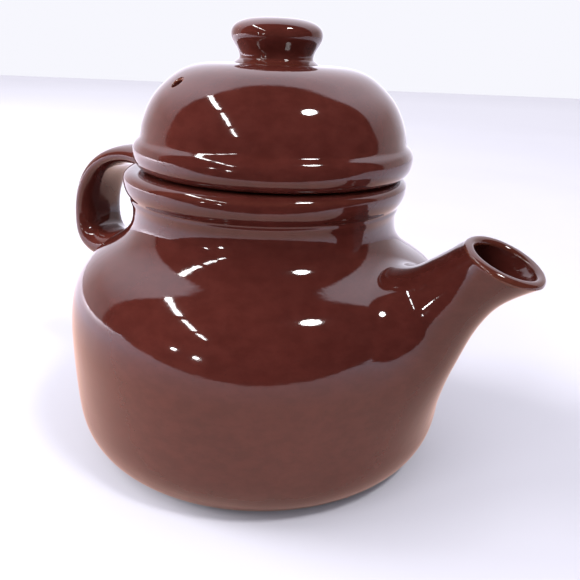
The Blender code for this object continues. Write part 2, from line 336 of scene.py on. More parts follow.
GLAZE = [(0.3, (0.043, 0.0084, 0.0064)), (0.7, (0.063, 0.0134, 0.0098))]
GLAZE_MOTTLE = [(0.38, (0.84, 0.80, 0.80)), (0.62, (1.12, 1.14, 1.16))]
GLAZE_THINNED = (0.12, 0.036, 0.018)
GLAZE_IRON = (0.022, 0.010, 0.009)
GLAZE_IOR = 1.46
RING_RELIEF = 0.000012      # metres, the turning rings under the glaze
PEEL_RELIEF = 0.00003       # metres, the glaze's slight orange peel
CLAY = [(0.3, (0.23, 0.115, 0.07)), (0.7, (0.36, 0.20, 0.13))]
CLAY_SPECK = (0.06, 0.035, 0.03)
CLAY_RELIEF = 0.00012
STEEL = [(0.3, (0.50, 0.50, 0.51)), (0.7, (0.68, 0.68, 0.69))]
STEEL_TINT = [(0.35, (0.92, 0.92, 0.93)), (0.65, (1.0, 0.99, 0.97))]
STEEL_RELIEF = 0.000015
FLOOR = [(0.3, (0.50, 0.49, 0.55)), (0.7, (0.54, 0.53, 0.59))]
FLOOR_FAR = (0.72, 0.71, 0.77)
# Painted reflection: floor colours that only mirror rays meet, warm near the pot and lilac further off.
MIRRORED_NEAR = (0.78, 0.52, 0.45)
MIRRORED_FAR = (0.86, 0.80, 0.92)


def glaze_material():
    """Deep red-brown gloss glaze: it thins to orange-brown on edges and is faintly ringed."""
    mat, nodes, shader, place = new_material("glaze")
    drift = nodes.noise(place, 16.0, 2.0)
    mottle = nodes.noise(nodes.scaled(place, (1.0, 1.0, 1.6)), 160.0, 5.0, 0.62)
    body = nodes.mix(0.75, nodes.ramp(drift, GLAZE), nodes.ramp(mottle, GLAZE_MOTTLE), "MULTIPLY")
    edge = nodes.add("ShaderNodeAttribute", attribute_name="edge").outputs["Fac"]
    body = nodes.mix(nodes.span(edge, 0.0, 0.8, 0.15, 0.9), body, GLAZE_THINNED)
    specks = nodes.noise(place, 1500.0, 2.0, 0.4)
    body = nodes.mix(nodes.span(specks, 0.0, 0.55, 0.70, 0.76), body, GLAZE_IRON)
    nodes.link(body, shader.inputs["Base Color"])

    smear = nodes.noise(place, 55.0, 3.0)
    nodes.link(nodes.span(smear, 0.045, 0.085), shader.inputs["Roughness"])
    rings = nodes.noise(nodes.scaled(place, (0.03, 0.03, 1.0)), 620.0, 3.0, 0.55)
    peel = nodes.noise(place, 240.0, 2.0)
    normal = nodes.bump(peel, PEEL_RELIEF, nodes.bump(rings, RING_RELIEF))
    nodes.link(normal, shader.inputs["Normal"])
    shader.inputs["IOR"].default_value = GLAZE_IOR
    return mat


def clay_material():
    """Bare fired stoneware of the foot ring and of the lid's seat."""
    mat, nodes, shader, place = new_material("bare_clay")
    grain = nodes.noise(place, 900.0, 6.0, 0.7)
    specks = nodes.span(nodes.noise(place, 2600.0, 1.0), 0.0, 0.8, 0.66, 0.72)
    colour = nodes.mix(specks, nodes.ramp(grain, CLAY), CLAY_SPECK)
    nodes.link(colour, shader.inputs["Base Color"])
    nodes.link(nodes.bump(grain, CLAY_RELIEF), shader.inputs["Normal"])
    nodes.link(nodes.span(grain, 0.72, 0.9), shader.inputs["Roughness"])
    return mat


def steel_material():
    """Stainless sheet with a fine brushed grain along the ring."""
    mat, nodes, shader, place = new_material("steel")
    grain = nodes.noise(nodes.scaled(place, (0.06, 0.06, 1.0)), 2600.0, 4.0, 0.6)
    cloud = nodes.noise(place, 90.0, 3.0)
    colour = nodes.mix(1.0, nodes.ramp(grain, STEEL), nodes.ramp(cloud, STEEL_TINT), "MULTIPLY")
    nodes.link(colour, shader.inputs["Base Color"])
    nodes.link(nodes.span(grain, 0.20, 0.34), shader.inputs["Roughness"])
    nodes.link(nodes.bump(grain, STEEL_RELIEF), shader.inputs["Normal"])
    shader.inputs["Metallic"].default_value = 1.0
    shader.inputs["Anisotropic"].default_value = 0.35
    return mat


def floor_material():
    """Pale matt table top. Mirror rays alone see it warmer near the pot and lilac further off: a painted
    reflection of a cloth that the camera doesn't see.
    """
    mat, nodes, shader, place = new_material("pale_floor")
    soft = nodes.noise(place, 3.0, 3.0)
    away = nodes.add("ShaderNodeVectorMath", operation="LENGTH")
    nodes.link(place, away.inputs[0])
    distance = away.outputs["Value"]
    colour = nodes.mix(nodes.span(distance, 0.0, 1.0, 0.4, 2.2), nodes.ramp(soft, FLOOR), FLOOR_FAR)
    # Painted reflection: mirror rays see the floor warm near the pot, while the camera sees it pale.
    painted_reflection = nodes.mix(nodes.span(distance, 0.0, 1.0, 0.16, 0.34), MIRRORED_NEAR, MIRRORED_FAR)
    mirrored = nodes.add("ShaderNodeLightPath").outputs["Is Glossy Ray"]
    nodes.link(nodes.mix(mirrored, colour, painted_reflection), shader.inputs["Base Color"])
    shader.inputs["Roughness"].default_value = 0.75
    return mat


EDGE_REACH = 2.2        # mm: an edge rounded less widely than this counts in full


def mesh_values(collection, name, wide, kind=float):
    """One property of all of a mesh's elements, as rows of an array."""
    values = np.zeros(len(collection) * wide, kind)
    collection.foreach_get(name, values)
    return values.reshape(-1, wide)


def mark_edges(piece, surface=None):
    """Store how sharply each point stands out, which the glaze reads to thin there.

    Where the piece grows out of the pot's surface it doesn't count as an edge.
    """
    mesh = piece.data
    place = mesh_values(mesh.vertices, "co", 3)
    normals = mesh_values(mesh.vertex_normals, "vector", 3)
    ends = mesh_values(mesh.edges, "vertices", 2, int)
    curve = np.zeros(len(place))
    tally = np.zeros(len(place))
    for a, b in ((ends[:, 0], ends[:, 1]), (ends[:, 1], ends[:, 0])):
        step = place[b] - place[a]
        length2 = np.maximum((step ** 2).sum(1), 1e-12)
        bend = -(step * normals[a]).sum(1) / length2
        np.add.at(curve, a, bend)
        np.add.at(tally, a, 1.0)
    curve = curve / np.maximum(tally, 1.0) * EDGE_REACH * MM
    value = np.clip(curve, 0.0, 1.0)
    if surface:
        value[surface.away(place)[0] < MM] = 0.0
    attribute = mesh.attributes.new("edge", "FLOAT", "POINT")
    attribute.data.foreach_set("value", value.astype(np.float32))


# ---------------------------------------------------------------- pot

FOOT = [(0.0, 2.6), (30.0, 2.6), (51.2, 2.5), (53.2, 0.0), (60.2, 0.0), (62.2, 0.9)]
BELLY = [(62.2, 0.9), (67.6, 4.6), (72.6, 12.0), (74.8, 24.0), (75.6, 42.0), (75.4, 57.0),
         (72.6, 69.5), (67.4, 76.6), (60.8, 81.4), (54.6, 86.2), (51.5, 91.2), (50.9, 95.2),
         (51.1, 98.0), (51.8, 100.2)]
COLLAR_R = 54.0
COLLAR_Z = 108.3
COLLAR_BEAD = 8.2
COLLAR_BELOW = 8.9      # the bead is a little deeper below its widest line than it is wide
COLLAR_SQUARE = 0.85
COLLAR_START = -48.0    # angle on the bead where the neck runs into it
CROWN_R = 49.6
CROWN_Z = 111.3
INSIDE = [(45.0, 111.3), (44.7, 106.0), (41.4, 106.0), (41.4, 102.8), (45.8, 100.5)]
CAVITY = [(45.8, 91.0), (49.4, 82.6), (61.5, 74.5), (68.0, 66.8), (70.8, 55.0), (70.8, 38.0),
          (69.4, 23.0), (65.4, 12.5), (57.0, 8.4), (40.0, 8.0), (0.0, 8.0)]
PORT_START = Vector((0.058, 0.0, 0.056))
PORT_END = Vector((0.084, 0.0, 0.072))
PORT_R = 0.010
PORT_FLARE = 0.0012
WAVE = 0.10             # mm by which a thrown piece is out of round
WAVE_R = 0.075          # metres, the radius that the wave is stated for
BARE_TOP = 0.0006       # the foot is bare clay up to this height


def pot_outline():
    """From the middle of the underside, up outside and down inside to the floor's middle."""
    centre = (COLLAR_R - COLLAR_BEAD, COLLAR_Z)
    under = arc(centre, COLLAR_BEAD, COLLAR_BELOW, COLLAR_START, 0.0, COLLAR_SQUARE)
    upper = arc((CROWN_R, COLLAR_Z), COLLAR_R - CROWN_R, CROWN_Z - COLLAR_Z, 0.0, 90.0)
    return join(FOOT[:-1], spline(BELLY, 12), under, upper[1:], INSIDE, spline(CAVITY, 8))


def hand_turned(piece, centre, size=WAVE):
    """Shift the points by a tenth of a millimetre or so, as no thrown pot is a true round."""
    for vert in piece.data.vertices:
        x = vert.co.x - centre[0]
        y = vert.co.y - centre[1]
        angle = atan2(y, x)
        wave = sin(2 * angle + 0.7 + 9.0 * vert.co.z) + 0.6 * sin(3 * angle - 1.1 - 14.0 * vert.co.z)
        grow = 1.0 + size * MM * wave / WAVE_R
        vert.co.x = centre[0] + x * grow
        vert.co.y = centre[1] + y * grow


def paint_bare(piece, is_bare):
    """Give the faces whose middle is bare clay the piece's second material."""
    for face in piece.data.polygons:
        if is_bare(face.center):
            face.material_index = 1


def make_pot(mats):
    """The body of the pot. Returns its outline, which spout and handle grow out of."""
    outline, middle = stretched(softened(pot_outline()), "pot_body")
    pot = turned("pot_body_glazed", outline, middle, mats)
    along = (PORT_START - PORT_END).normalized()
    length = (PORT_END - PORT_START).length
    apply_cut(pot, rounded_hole("port", PORT_START, along, PORT_R, length, PORT_FLARE))
    mark_edges(pot)
    paint_bare(pot, lambda c: c.z < BARE_TOP)
    hand_turned(pot, (0.0, 0.0))
    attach(pot, "pot")
    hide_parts("pot_body")
    return outline


TOUCHING = 2e-5         # metres from the pot at which the face's own direction is taken


class Surface:
    """The pot's outer face, as distance and direction from it."""

    def __init__(self, outline):
        top = int(np.argmax(outline[:, 1]))
        self.line = outline[:top + 1]

    def away(self, points):
        """Signed distance of each point, and the outward direction there."""
        flat = points.reshape(-1, 3)
        around = np.hypot(flat[:, 0], flat[:, 1])
        here = np.stack([around, flat[:, 2]], 1)
        start = self.line[:-1]
        span = self.line[1:] - start
        along = ((here[:, None] - start[None]) * span[None]).sum(2) / (span ** 2).sum(1)
        near = start[None] + np.clip(along, 0.0, 1.0)[..., None] * span[None]
        gap = here[:, None] - near
        far = np.sqrt((gap ** 2).sum(2))
        pick = far.argmin(1)
        rows = np.arange(len(pick))
        gap = gap[rows, pick]
        far = far[rows, pick]
        face = np.stack([span[pick, 1], -span[pick, 0]], 1)
        face /= np.sqrt((face ** 2).sum(1))[:, None]
        side = np.where((gap * face).sum(1) < 0.0, -1.0, 1.0)
        close = far < TOUCHING
        out = np.where(close[:, None], face, gap / np.maximum(far, 1e-9)[:, None] * side[:, None])
        around = np.maximum(around, 1e-6)
        normal = np.stack([out[:, 0] * flat[:, 0] / around, out[:, 0] * flat[:, 1] / around, out[:, 1]], 1)
        return (far * side).reshape(points.shape[:-1]), normal.reshape(points.shape)

    def flow_out(self, points, outwards, rise, spread):
        """Draw a luted piece's foot out over the pot, tangent to it where the two meet.

        The foot starts at the distance rise from the pot and is spread wider by spread.
        """
        distance, normal = self.away(points)
        share = np.clip(1.0 - distance / rise, 0.0, 1.0)
        push = spread * (1.0 - np.sqrt(np.maximum(0.0, 1.0 - share ** 2)))
        moved = points
        for _ in range(3):
            flat = outwards - (outwards * normal).sum(-1, keepdims=True) * normal
            flat /= np.maximum(np.sqrt((flat ** 2).sum(-1, keepdims=True)), 1e-9)
            moved = points + flat * push[..., None]
            now, normal = self.away(moved)
            moved = moved + normal * (distance - now)[..., None]
        return moved


# ---------------------------------------------------------------- spout

SPOUT_LINE = [(55.0, 48.0), (69.8, 63.5), (77.5, 81.6), (95.7, 93.9)]
SPOUT_RADII = [25.7, 19.6, 11.6, 11.6]
SPOUT_WALL = 3.6
SPOUT_ROWS = 90
SPOUT_COLUMNS = 96
BORE_ROWS = 60
ROOT_FLARE = 6.0
ROOT_END = 0.4          # share of the spout's length at which the root's flare ends
LIP_FLARE = 3.0
LIP_START = 0.75
LIP_EVEN = 0.85         # share of the lip's flare that is the same all round
LIP_SIDE = 0.5          # the lip flares less to the sides
LIP_CREST = 1.7
LIP_STEPS = 14
MOUTH_START = 0.55
MOUTH_TILT = 22.0
MOUTH_WIDTH = 1.12
SPOUT_RISE = (11.0, 7.0)    # mm from the pot where the foot starts to spread, above and below
SPOUT_SPREAD = (8.0, 16.0)  # mm by which it spreads, above and below
SUNK = 1.2              # mm that a foot's edge goes on into the pot


def share_past(t, start):
    """How far t is past start, as a share of the way from start to one."""
    return np.clip((t - start) / (1.0 - start), 0.0, 1.0)


def unit(vectors):
    """The same directions, each of length one."""
    return vectors / np.sqrt((vectors ** 2).sum(-1, keepdims=True))


def spout_face(t, angle, inset):
    """Points of the spout's face, t along it and angle round it, and the direction outwards."""
    line = np.array(SPOUT_LINE)
    here = bezier(line, t)
    ahead = unit(bezier(line, t + AHEAD) - here)
    square = np.stack([ahead[..., 1], -ahead[..., 0]], -1)
    mouth = np.array([cos(radians(MOUTH_TILT)), -sin(radians(MOUTH_TILT))])
    turn = share_past(t, MOUTH_START) ** 1.5
    across = unit(square + (mouth - square) * turn[..., None])
    radius = bezier(np.array(SPOUT_RADII)[:, None], t)[..., 0] - inset
    root = ROOT_FLARE * np.clip(1.0 - t / ROOT_END, 0.0, 1.0) ** 2
    flare = LIP_FLARE * share_past(t, LIP_START) ** 2
    deep = radius + flare * (LIP_EVEN + (1.0 - LIP_EVEN) * np.cos(angle))
    wide = radius * (1.0 + (MOUTH_WIDTH - 1.0) * t) + root + flare * LIP_SIDE
    out = np.stack([across[..., 0] * np.cos(angle), np.sin(angle), across[..., 1] * np.cos(angle)], -1)
    face = np.stack([here[..., 0] + across[..., 0] * deep * np.cos(angle), wide * np.sin(angle),
                     here[..., 1] + across[..., 1] * deep * np.cos(angle)], -1)
    return face * MM, out


LEAVING_END = 0.9       # a piece is out of the pot before this share of its way
LEAVING_STEPS = 360


def leaving(face, surface, angle):
    """For each angle, the last t at which the piece is still inside the pot."""
    t = np.linspace(0.0, LEAVING_END, LEAVING_STEPS + 1)
    grid_t, grid_angle = np.meshgrid(t, angle, indexing="ij")
    distance, _ = surface.away(face(grid_t, grid_angle)[0])
    leave = np.zeros(len(angle))
    for k in range(len(angle)):
        inside = np.nonzero(distance[:, k] < 0.0)[0]
        if len(inside):
            i = inside[-1]
            low, high = distance[i, k], distance[i + 1, k]
            leave[k] = t[i] + (t[1] - t[0]) * low / (low - high)
    return leave


def sunk(ring, surface):
    """A foot's last ring of points, moved on into the pot."""
    _, normal = surface.away(ring)
    return ring - normal * SUNK * MM


def spout_outer(surface, start, angle):
    """Rows of points from the spout's foot on the pot out to its mouth."""
    u = np.linspace(0.0, 1.0, SPOUT_ROWS) ** 2
    t = start[None] + (1.0 - start[None]) * u[:, None]
    around = np.broadcast_to(angle, t.shape)
    outer, outwards = spout_face(t, around, 0.0)
    below = 0.5 + 0.5 * np.cos(around)
    rise = (SPOUT_RISE[0] + (SPOUT_RISE[1] - SPOUT_RISE[0]) * below) * MM
    spread = (SPOUT_SPREAD[0] + (SPOUT_SPREAD[1] - SPOUT_SPREAD[0]) * below) * MM
    return surface.flow_out(outer, outwards, rise, spread)


def spout_lip(angle):
    """Rows of points over the rounded lip, from the outside to the bore."""
    up = np.array([sin(radians(MOUTH_TILT)), 0.0, cos(radians(MOUTH_TILT))])
    rows = []
    for k in range(1, LIP_STEPS):
        a = radians(180.0 * k / LIP_STEPS)
        ring, _ = spout_face(np.ones((1, len(angle))), angle[None], SPOUT_WALL * 0.5 * (1.0 - cos(a)))
        rows.append(ring + up * LIP_CREST * MM * sin(a))
    return rows


def make_spout(surface, mats):
    """Hollow spout: from its foot out to the mouth, over the lip and back along the bore."""
    angle = np.linspace(0.0, 2.0 * np.pi, SPOUT_COLUMNS, endpoint=False)
    start = leaving(lambda t, a: spout_face(t, a, 0.0), surface, angle)
    outer = spout_outer(surface, start, angle)
    back = np.linspace(1.0, 0.0, BORE_ROWS)[:, None]
    bore_t = start[None] + (1.0 - start[None]) * back
    bore, _ = spout_face(bore_t, np.broadcast_to(angle, bore_t.shape), SPOUT_WALL)
    rows = np.concatenate([outer, *spout_lip(angle), bore, sunk(outer[:1], surface)])
    faces = grid_faces(len(rows), SPOUT_COLUMNS, True)
    spout = make_piece("spout_glazed", rows.reshape(-1, 3), faces, mats)
    mark_edges(spout, surface)
    hand_turned(spout, (0.0, 0.0))
    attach(spout, "pot")
    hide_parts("spout")


# ---------------------------------------------------------------- handle

HANDLE_LINE = [(-44.0, 103.0), (-52.0, 106.6), (-62.0, 109.2), (-78.0, 108.2), (-91.8, 100.8),
               (-99.8, 89.3), (-102.0, 78.0), (-99.2, 67.8), (-91.0, 64.8), (-80.0, 66.6), (-66.0, 69.5)]
HANDLE_THICK = [12.0, 10.8, 9.2, 8.4, 8.2, 8.0, 8.4, 12.0, 13.5, 13.5, 15.0]
HANDLE_WIDE = [27.0, 26.0, 24.5, 24.5, 25.0, 25.0, 25.0, 25.0, 25.0, 26.0, 29.0]
HANDLE_ROWS = 110
HANDLE_COLUMNS = 56
HANDLE_ROUND = 0.8      # one is an ellipse across the strap, less is fuller at its corners
HANDLE_START = 0.01     # radians, so that no column lies right on the strap's edge
ROOT_RISE = (3.0, 6.0)  # mm from the pot where the strap starts to spread, at its top and foot
ROOT_SPREAD = (3.0, 5.0)


def handle_line():
    """The strap's middle line with its thickness and width, in even steps."""
    knots = [(*p, t, w) for p, t, w in zip(HANDLE_LINE, HANDLE_THICK, HANDLE_WIDE)]
    return even(spline(knots, 12), 0.5)


def handle_face(line, t, angle):
    """Points of the strap's face, t along it and angle round it, and the direction outwards."""
    place = np.linspace(0.0, 1.0, len(line))
    here = np.stack([np.interp(t, place, line[:, k]) for k in range(4)], -1)
    ahead = unit(np.stack([
        np.interp(t + AHEAD, place, line[:, k]) - np.interp(t - AHEAD, place, line[:, k])
        for k in (0, 1)], -1))
    square = np.stack([ahead[..., 1], -ahead[..., 0]], -1)
    c = np.cos(angle)
    s = np.sin(angle)
    depth = np.sign(c) * np.abs(c) ** HANDLE_ROUND * here[..., 2] / 2.0
    side = np.sign(s) * np.abs(s) ** HANDLE_ROUND * here[..., 3] / 2.0
    out = np.stack([square[..., 0] * c, s, square[..., 1] * c], -1)
    face = np.stack([here[..., 0] + square[..., 0] * depth, side,
                     here[..., 1] + square[..., 1] * depth], -1)
    return face * MM, out


def make_handle(surface, mats):
    """Strap handle, both ends of which flow out over the pot."""
    line = handle_line()
    angle = np.linspace(0.0, 2.0 * np.pi, HANDLE_COLUMNS, endpoint=False) + HANDLE_START
    first = leaving(lambda t, a: handle_face(line, t * 0.5, a), surface, angle) * 0.5
    last = 1.0 - 0.5 * leaving(lambda t, a: handle_face(line, 1.0 - t * 0.5, a), surface, angle)
    u = 0.5 - 0.5 * np.cos(np.pi * np.linspace(0.0, 1.0, HANDLE_ROWS))
    t = first[None] + (last - first)[None] * u[:, None]
    face, outwards = handle_face(line, t, np.broadcast_to(angle, t.shape))
    low = u[:, None] * np.ones_like(t) > 0.5
    rise = np.where(low, ROOT_RISE[1], ROOT_RISE[0]) * MM
    spread = np.where(low, ROOT_SPREAD[1], ROOT_SPREAD[0]) * MM
    face = surface.flow_out(face, outwards, rise, spread)
    rows = np.concatenate([sunk(face[:1], surface), face, sunk(face[-1:], surface)])
    verts = rows.reshape(-1, 3)
    faces = grid_faces(len(rows), HANDLE_COLUMNS)
    faces.append(tuple(range(HANDLE_COLUMNS)))
    faces.append(tuple(range(len(verts) - HANDLE_COLUMNS, len(verts))))
    handle = make_piece("handle_glazed", verts, faces, mats)
    mark_edges(handle, surface)
    hand_turned(handle, (0.0, 0.0))
    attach(handle, "pot")
    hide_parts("handle")


# ---------------------------------------------------------------- lid

RIM_CENTRE = (47.2, 118.4)
RIM_WIDTH = 5.6
RIM_BELOW = 6.8
RIM_ABOVE = 5.0
RIM_SQUARE = 0.85
DOME = [(50.2, 123.1), (49.8, 124.6), (49.4, 127.2), (48.3, 130.9), (46.6, 134.8), (44.2, 138.6),
        (40.6, 142.4), (34.6, 146.9), (27.6, 149.3), (20.0, 149.95), (0.0, 150.2)]
LID_UNDER = [(0.0, 145.8), (20.0, 145.2), (30.0, 143.3), (37.0, 139.2), (42.0, 133.8), (44.2, 128.0),
             (43.8, 118.0), (41.0, 115.8)]
SKIRT = [(31.9, 115.0), (31.9, 101.8), (35.3, 101.8), (35.3, 111.6), (44.0, 111.6)]
RIM_TURN = 50.0         # angle on the rim where it runs into the dome
VENT_R = 0.0023
VENT_DEPTH = 0.012
VENT_FLARE = 0.0006
VENT_SLOPE = (0.55, 0.83)   # the hole's direction, outwards and up
VENT_ANGLE = -110.3
VENT_DISTANCE = 39.8    # mm from the lid's axis


def make_lid(mats):
    """Hollow lid with its vent hole and a bare edge to its skirt."""
    below = arc(RIM_CENTRE, RIM_WIDTH, RIM_BELOW, -90.0, 0.0, RIM_SQUARE)
    above = arc(RIM_CENTRE, RIM_WIDTH, RIM_ABOVE, 0.0, RIM_TURN, RIM_SQUARE)
    drawn = join(spline(LID_UNDER, 8), SKIRT, below, above[1:], spline(DOME, 12))
    outline, middle = stretched(softened(drawn), "lid_dome")
    lid = turned("lid_dome_glazed", outline, middle, mats)
    top = outline[int(np.argmax(outline[:, 0])):]
    distance = VENT_DISTANCE * MM
    height = np.interp(distance, top[::-1, 0], top[::-1, 1])
    away = Vector((cos(radians(VENT_ANGLE)), sin(radians(VENT_ANGLE)), 0.0))
    place = Vector((middle.x, middle.y, height)) + away * distance
    along = away * VENT_SLOPE[0] + Vector((0.0, 0.0, VENT_SLOPE[1]))
    apply_cut(lid, rounded_hole("vent", place, along, VENT_R, VENT_DEPTH, VENT_FLARE))
    mark_edges(lid)
    skirt_bottom = outline[:, 1].min()
    paint_bare(lid, lambda c: c.z < skirt_bottom + BARE_TOP)
    hand_turned(lid, middle)
    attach(lid, "lid")
    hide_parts("lid_dome")


KNOB = [(13.5, 151.4), (13.5, 152.6), (14.2, 154.6), (15.7, 157.0), (16.7, 159.5), (16.1, 162.0),
        (13.4, 164.1), (8.0, 165.4), (0.0, 165.8)]
KNOB_FOOT = [(0.0, 150.5), (15.8, 150.5), (14.4, 151.0)]
KNOB_SINK = 0.45        # mm that the foot goes into the dome
KNOB_SOFTNESS = 0.4
KNOB_WAVE = 0.15


def make_knob(mats):
    """Knob on the lid, its foot sunk a little into the dome."""
    drawn = join(KNOB_FOOT, spline(KNOB, 12))
    outline, middle = stretched(softened(drawn, KNOB_SOFTNESS), "lid_knob")
    foot = outline[:, 1] < outline[:, 1].min() + KNOB_SINK * MM
    outline[foot, 1] -= KNOB_SINK * MM
    knob = turned("lid_knob_glazed", outline, middle, mats, KNOB_SIDES)
    mark_edges(knob)
    hand_turned(knob, middle, KNOB_WAVE)
    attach(knob, "lid")
    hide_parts("lid_knob")


# ---------------------------------------------------------------- basket

SHEET = 0.0008
HOLES_AROUND = 64
HOLE_ROWS = 30
HOLE_SHARE = 0.60       # hole radius over half the pitch of the holes
HOLE_SIDES = 12
BAND_LOW = 0.004        # plain band at the wall's lower end
BAND_HIGH = 0.009       # plain band under the rim
COLLAR_GAP = 0.3        # mm between the wall and the rim's collar
ROLL_HEIGHT = 2.0       # mm from the rim's seat to the top of its rolled edge
RING_SAMPLE = 0.12      # mm between the points of the rim's outline
FLOOR_PITCH = 0.0034
FLOOR_HOLE = 0.0010
FLOOR_SIDES = 120
FLOOR_BORDER = 0.0032   # from the cup's side to the edge of its flat floor
FLOOR_MARGIN = 0.0022   # from that edge to the middle of the nearest hole
HOLE_FILL = 0.97        # a face with its middle nearer than this share of the radius fills a hole
CUP_BEND = 0.0018
CUP_LIP = 0.0003


def ring_outline(points):
    """Closed outline, softened all the way round."""
    line = np.array(points, float)
    line = even(np.concatenate([line, line[:1]]), RING_SAMPLE)[:-1]
    for _ in range(4):
        line = (np.roll(line, 1, 0) + line + np.roll(line, -1, 0)) / 3.0
    return line


def make_rim(mats):
    """Stamped flange: a rolled outer edge, a flat seat and a collar that goes round the wall."""
    low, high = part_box("infuser_rim")
    wall_low, wall_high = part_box("infuser_wall")
    outer = (high.x - low.x) / 2 / MM
    collar = (wall_high.x - wall_low.x) / 2 / MM + COLLAR_GAP
    sheet = SHEET / MM
    base = low.z / MM
    top = high.z / MM
    seat = top - ROLL_HEIGHT
    points = [
        (collar, base), (collar + sheet, base), (collar + sheet, seat), (outer - 0.4, seat),
        (outer, seat + 0.5), (outer, top - 0.3), (outer - 0.5, top), (outer - sheet - 0.5, top),
        (outer - sheet - 0.2, seat + sheet), (collar + 0.3, seat + sheet),
        (collar, seat + sheet - 0.3),
    ]
    rim = turned("basket_rim", ring_outline(points) * MM, (0.0, 0.0), mats, SIDES, True)
    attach(rim, "infuser")
    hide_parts("infuser_rim")


def hole_lattice(columns, rows):
    """Diamond cells of a staggered lattice, each with a round hole, in (column, row) units.

    Returns flat points and faces, and the loops of points round the holes.
    """
    points = {}
    flat = []
    faces = []
    holes = []

    def index(x, y):
        key = (round(x % columns, 4), round(y, 4))
        if key not in points:
            points[key] = len(flat)
            flat.append((x, y))
        return points[key]

    def add_plain(corners):
        apart = [c for k, c in enumerate(corners) if c not in corners[:k]]
        faces.append([index(*c) for c in apart])

    def add_holed(i, j, corners):
        angles = [2.0 * np.pi * k / HOLE_SIDES for k in range(HOLE_SIDES)]
        loop = [index(i + HOLE_SHARE * cos(a), j + HOLE_SHARE * sin(a)) for a in angles]
        holes.append(loop)
        quarter = HOLE_SIDES // 4
        for q in range(4):
            first, second = index(*corners[q]), index(*corners[(q + 1) % 4])
            curve = [loop[(q * quarter + k) % HOLE_SIDES] for k in range(quarter + 1)]
            faces.append([first, second, *reversed(curve[quarter // 2:])])
            faces.append([first, *reversed(curve[:quarter // 2 + 1])])

    for j in range(rows + 1):
        for i in range(columns):
            if (i + j) % 2 == 0:
                continue
            corners = [(i + 1, j), (i, j + 1), (i - 1, j), (i, j - 1)]
            corners = [(x, min(max(y, 0), rows)) for x, y in corners]
            if j in (0, rows):
                add_plain(corners)
            else:
                add_holed(i, j, corners)
    return flat, faces, holes


def two_sided(flat, faces, holes, place):
    """Both sides of a sheet and the walls of its holes. place(x, y, side) gives a point."""
    count = len(flat)
    verts = [place(x, y, 0) for x, y in flat] + [place(x, y, 1) for x, y in flat]
    both = [tuple(f) for f in faces] + [tuple(i + count for i in reversed(f)) for f in faces]
    for loop in holes:
        for a, b in zip(loop, loop[1:] + loop[:1]):
            both.append((a, b, b + count, a + count))
    return verts, both


def add_band(verts, faces, flat, columns, edge, end, place):
    """Carry both sides of the sheet on from its edge row to the height end, and close it."""
    start = len(verts)
    lookup = {round(x, 4) % columns: k for k, (x, y) in enumerate(flat) if y == edge}
    used = sorted(lookup)
    n = len(used)
    for side in (0, 1):
        for x in used:
            around = place(x, edge, side)
            verts.append((around[0], around[1], end))
    for k in range(n):
        m = (k + 1) % n
        a, b = lookup[used[k]], lookup[used[m]]
        faces.append((a, b, start + m, start + k))
        faces.append((a + len(flat), b + len(flat), start + n + m, start + n + k))
        faces.append((start + k, start + m, start + n + m, start + n + k))


def make_wall(mats):
    """Rolled sheet with rows of small round holes and a plain band at each end."""
    low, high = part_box("infuser_wall")
    radius = (high.x - low.x) / 2
    bottom = low.z + BAND_LOW
    top = high.z - BAND_HIGH
    columns = 2 * HOLES_AROUND
    flat, sheet, holes = hole_lattice(columns, HOLE_ROWS)

    def place(x, y, side):
        angle = 2.0 * np.pi * x / columns
        r = radius - SHEET * side
        return (r * cos(angle), r * sin(angle), bottom + (top - bottom) * y / HOLE_ROWS)

    verts, faces = two_sided(flat, sheet, holes, place)
    add_band(verts, faces, flat, columns, 0, low.z, place)
    add_band(verts, faces, flat, columns, HOLE_ROWS, high.z, place)
    wall = make_piece("basket_wall", verts, faces, mats)
    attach(wall, "infuser")
    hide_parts("infuser_wall")


def hole_centres(field):
    """Middles of the floor's holes, in a honeycomb."""
    centres = []
    reach = int(field / FLOOR_PITCH) + 2
    for j in range(-reach, reach + 1):
        for i in range(-reach, reach + 1):
            x = (i + 0.5 * (j % 2)) * FLOOR_PITCH
            y = j * FLOOR_PITCH * sqrt(3.0) / 2.0
            if x * x + y * y < (field - FLOOR_MARGIN) ** 2:
                centres.append((x, y))
    return centres


def holed_disc(field):
    """Flat disc with round holes: its points and faces, the holes' loops and its edge."""
    centres = hole_centres(field)
    points = []
    edges = []
    circles = [(0.0, 0.0, field, FLOOR_SIDES)]
    circles += [(x, y, FLOOR_HOLE, HOLE_SIDES) for x, y in centres]
    for x, y, radius, sides in circles:
        start = len(points)
        for k in range(sides):
            a = 2.0 * np.pi * k / sides
            points.append(Vector((x + radius * cos(a), y + radius * sin(a))))
            edges.append((start + k, start + (k + 1) % sides))
    placed, _, faces, origin, _, _ = delaunay_2d_cdt(points, edges, [], 0, WELD)
    spots = np.array(centres)
    kept = []
    for face in faces:
        middle = sum((placed[i] for i in face), Vector((0.0, 0.0))) / len(face)
        near = np.sqrt(((spots - np.array(middle)) ** 2).sum(1)).min()
        if near > FLOOR_HOLE * HOLE_FILL and middle.length < field:
            kept.append(list(face))
    lookup = {source: k for k, sources in enumerate(origin) for source in sources}
    rim = [lookup[k] for k in range(FLOOR_SIDES)]
    starts = range(FLOOR_SIDES, len(points), HOLE_SIDES)
    loops = [[lookup[start + k] for k in range(HOLE_SIDES)] for start in starts]
    return [(p.x, p.y) for p in placed], kept, loops, rim


def cup_section(outer, low, high):
    """Radius and height from the floor's underside, up round the side and back inside."""
    inner = CUP_BEND - SHEET
    centre = (outer - CUP_BEND, low + CUP_BEND)
    section = [(centre[0] + CUP_BEND * sin(a), centre[1] - CUP_BEND * cos(a))
               for a in np.radians([0, 20, 40, 60, 80, 90])]
    section += [(outer, high - CUP_LIP), (outer - SHEET / 2, high), (outer - SHEET, high - CUP_LIP)]
    section += [(centre[0] + inner * sin(a), centre[1] - inner * cos(a))
                for a in np.radians([90, 70, 50, 30, 10, 0])]
    return section


